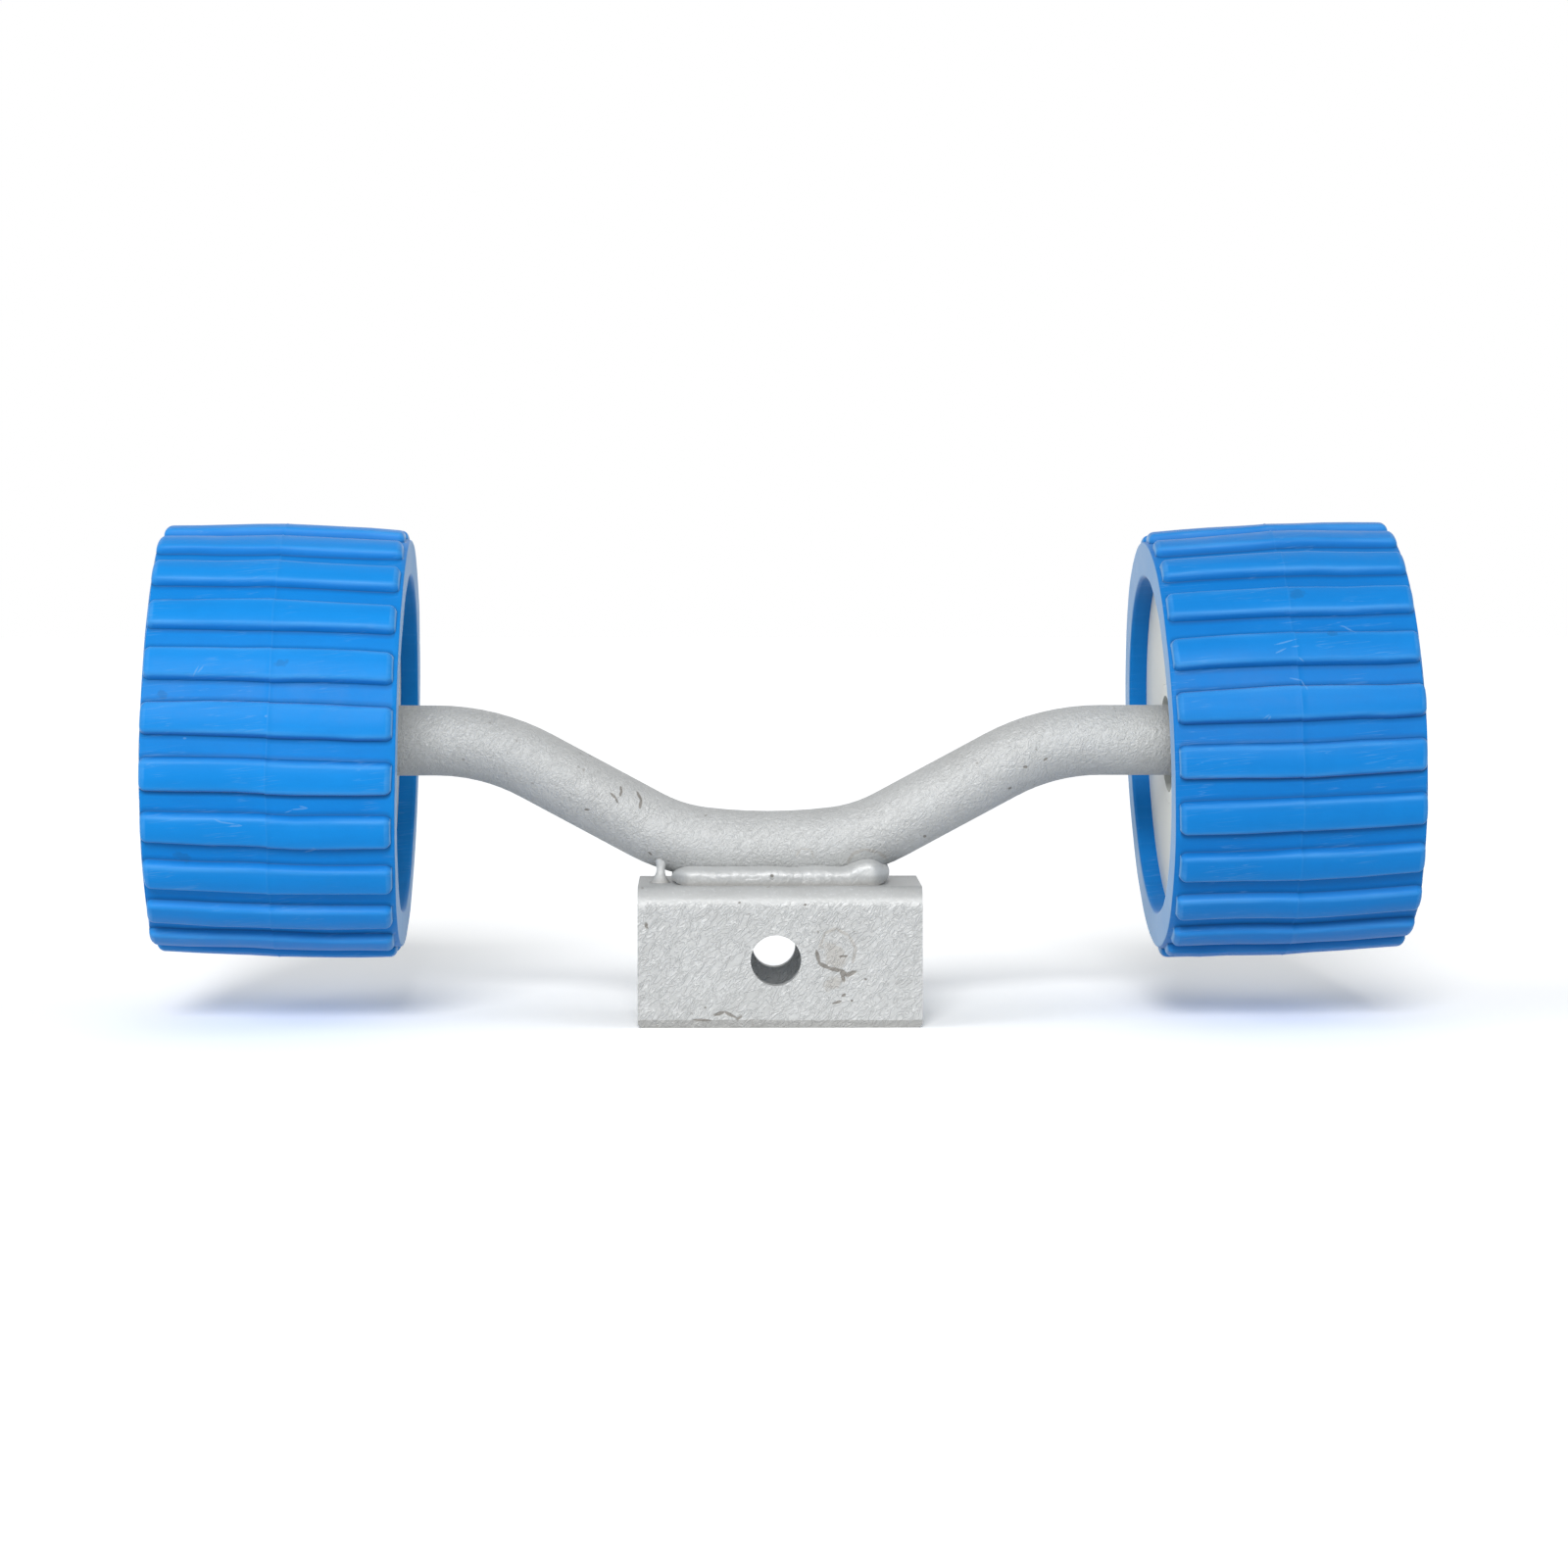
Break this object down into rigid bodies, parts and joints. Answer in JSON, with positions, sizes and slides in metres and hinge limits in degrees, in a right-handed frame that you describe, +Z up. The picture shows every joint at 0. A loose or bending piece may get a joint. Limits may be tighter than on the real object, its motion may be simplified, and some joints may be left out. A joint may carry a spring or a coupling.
{
  "type": "boat trailer roller",
  "caption": "Bent round bar welded on a folded channel bracket, with a ribbed wobble roller on each end that turns and leans to carry a boat's hull on its trailer.",
  "frame": {"origin": "middle of the bracket's foot, on the plane of its flange edges", "axes": "+X along the bar towards the right roller, +Y in the direction of travel, away from the camera, +Z up"},
  "size_m": [0.3538, 0.1232, 0.1417],
  "materials": {
    "galvanised_steel": "hot dip galvanised, rough and mottled",
    "blue_tread": "moulded, satin, scuffed",
    "pale_nylon": "moulded, matt",
    "plated_steel": "zinc plated"
  },
  "bodies": {
    "frame": {"bracket_channel": "galvanised_steel", "axle_bar": "galvanised_steel", "weld_front": "galvanised_steel", "weld_rear": "galvanised_steel", "left_washer": "plated_steel", "left_split_pin": "plated_steel", "right_washer": "plated_steel", "right_split_pin": "plated_steel"},
    "left_bush": {"left_wobble_bush": "pale_nylon"},
    "left_roller": {"left_tyre": "blue_tread", "left_hub_inner": "pale_nylon", "left_hub_outer": "pale_nylon", "left_hub_screws": "plated_steel"},
    "right_bush": {"right_wobble_bush": "pale_nylon"},
    "right_roller": {"right_tyre": "blue_tread", "right_hub_inner": "pale_nylon", "right_hub_outer": "pale_nylon", "right_hub_screws": "plated_steel"}
  },
  "joints": [
    {"name": "left_wobble", "type": "hinge", "parent": "frame", "child": "left_bush", "pos_m": [-0.1403, 0, 0.0797], "axis": [0, 1, 0], "range_deg": [-7.4, 4.6]},
    {"name": "left_spin", "type": "hinge", "parent": "left_bush", "child": "left_roller", "pos_m": [-0.1403, 0, 0.0797], "axis": [0.9997, 0.0087, -0.0244], "continuous": true},
    {"name": "right_wobble", "type": "hinge", "parent": "frame", "child": "right_bush", "pos_m": [0.1403, 0, 0.0797], "axis": [0, 1, 0], "range_deg": [-3.8, 8.2]},
    {"name": "right_spin", "type": "hinge", "parent": "right_bush", "child": "right_roller", "pos_m": [0.1403, 0, 0.0797], "axis": [0.999, 0.0209, 0.0384], "continuous": true}
  ]
}
